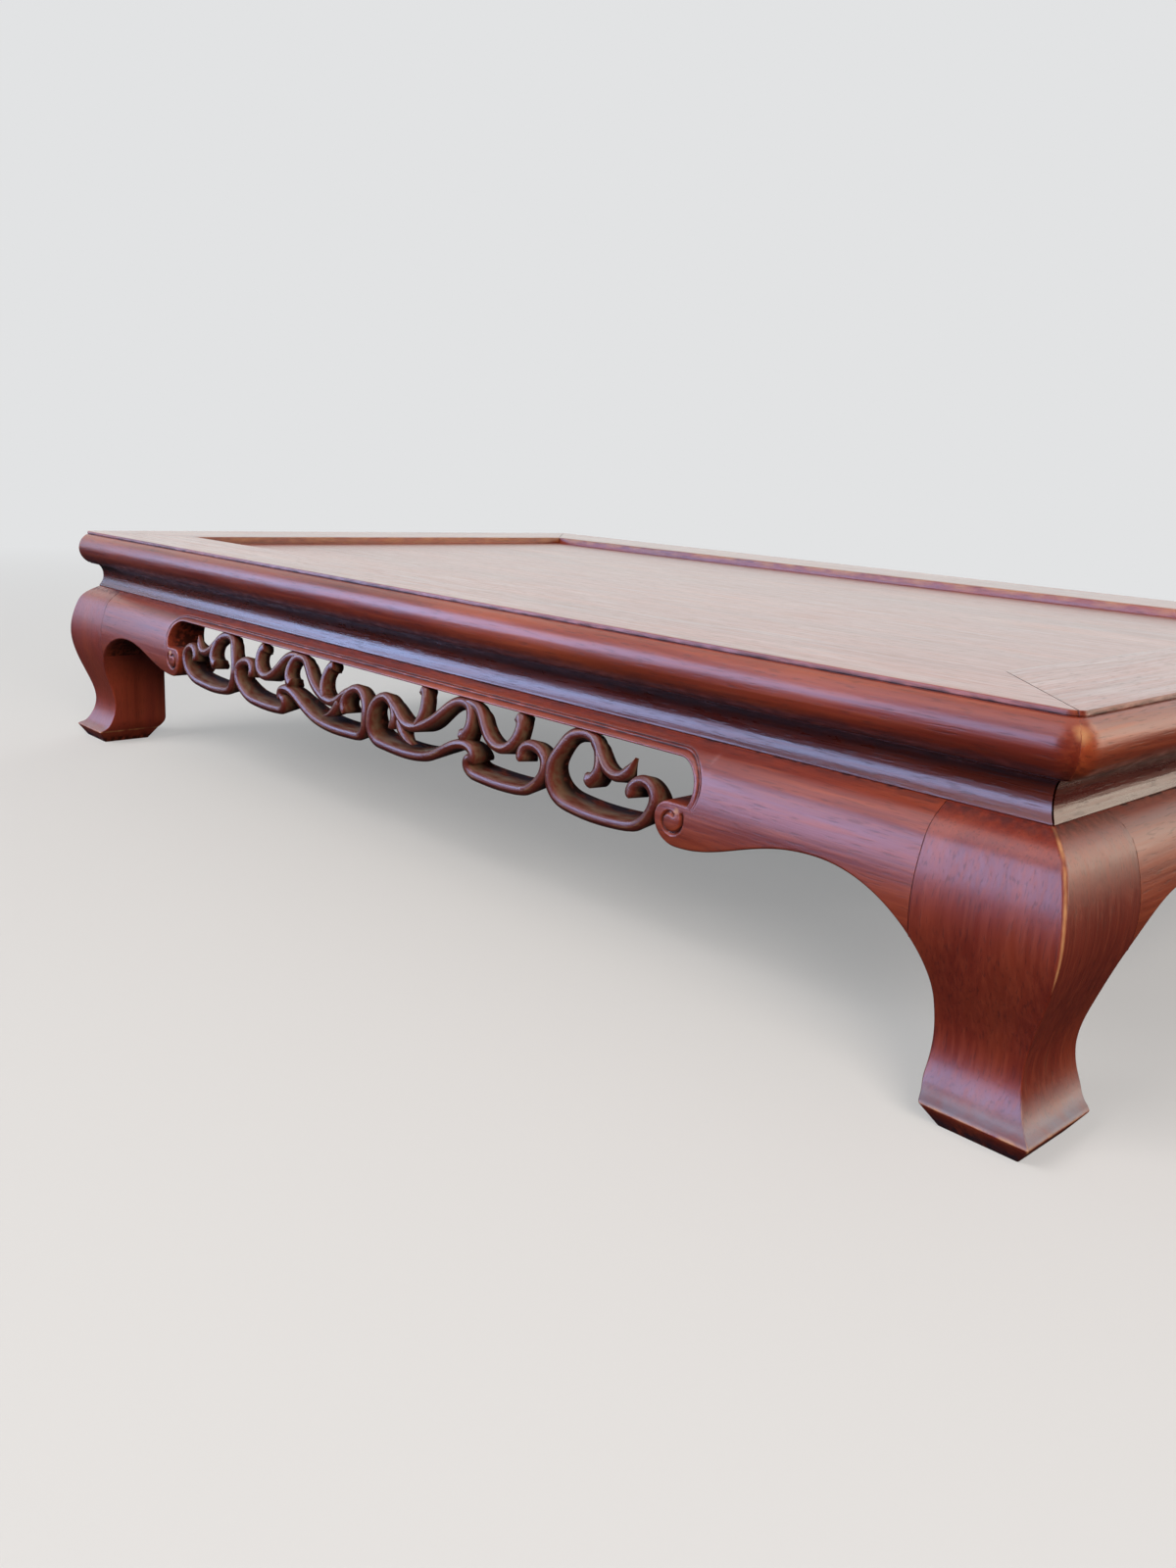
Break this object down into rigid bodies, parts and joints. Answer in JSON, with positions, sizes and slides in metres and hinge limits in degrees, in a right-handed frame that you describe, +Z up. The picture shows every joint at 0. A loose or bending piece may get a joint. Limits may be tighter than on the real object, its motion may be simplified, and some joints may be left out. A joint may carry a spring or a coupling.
{
  "type": "low display table",
  "caption": "Low rectangular hardwood display table: recessed panel in a rolled frame, coved waist, bulging aprons with openwork scrolls, cabriole legs with flared feet.",
  "frame": {"origin": "on the floor, under the middle of the table", "axes": "+X along the long sides, +Y from the front to the back, +Z up"},
  "size_m": [0.813, 0.514, 0.159],
  "materials": {
    "frame_wood": "polished rosewood, satin",
    "panel_wood": "polished rosewood, satin",
    "batten_wood": "planed, unpolished rosewood",
    "waist_wood": "polished rosewood, satin",
    "apron_wood": "polished rosewood, satin",
    "fretwork_wood": "carved rosewood, polished on the face, dusty in the recesses",
    "leg_wood": "polished rosewood, satin, worn at the feet"
  },
  "bodies": {
    "root": {"front_rail": "frame_wood", "back_rail": "frame_wood", "left_rail": "frame_wood", "right_rail": "frame_wood", "front_panel_board": "panel_wood", "back_panel_board": "panel_wood", "left_batten": "batten_wood", "right_batten": "batten_wood", "front_waist": "waist_wood", "back_waist": "waist_wood", "left_waist": "waist_wood", "right_waist": "waist_wood", "front_apron": "apron_wood", "back_apron": "apron_wood", "left_apron": "apron_wood", "right_apron": "apron_wood", "front_fretwork": "fretwork_wood", "back_fretwork": "fretwork_wood", "left_fretwork": "fretwork_wood", "right_fretwork": "fretwork_wood", "front_left_leg": "leg_wood", "front_right_leg": "leg_wood", "back_left_leg": "leg_wood", "back_right_leg": "leg_wood"}
  },
  "joints": []
}
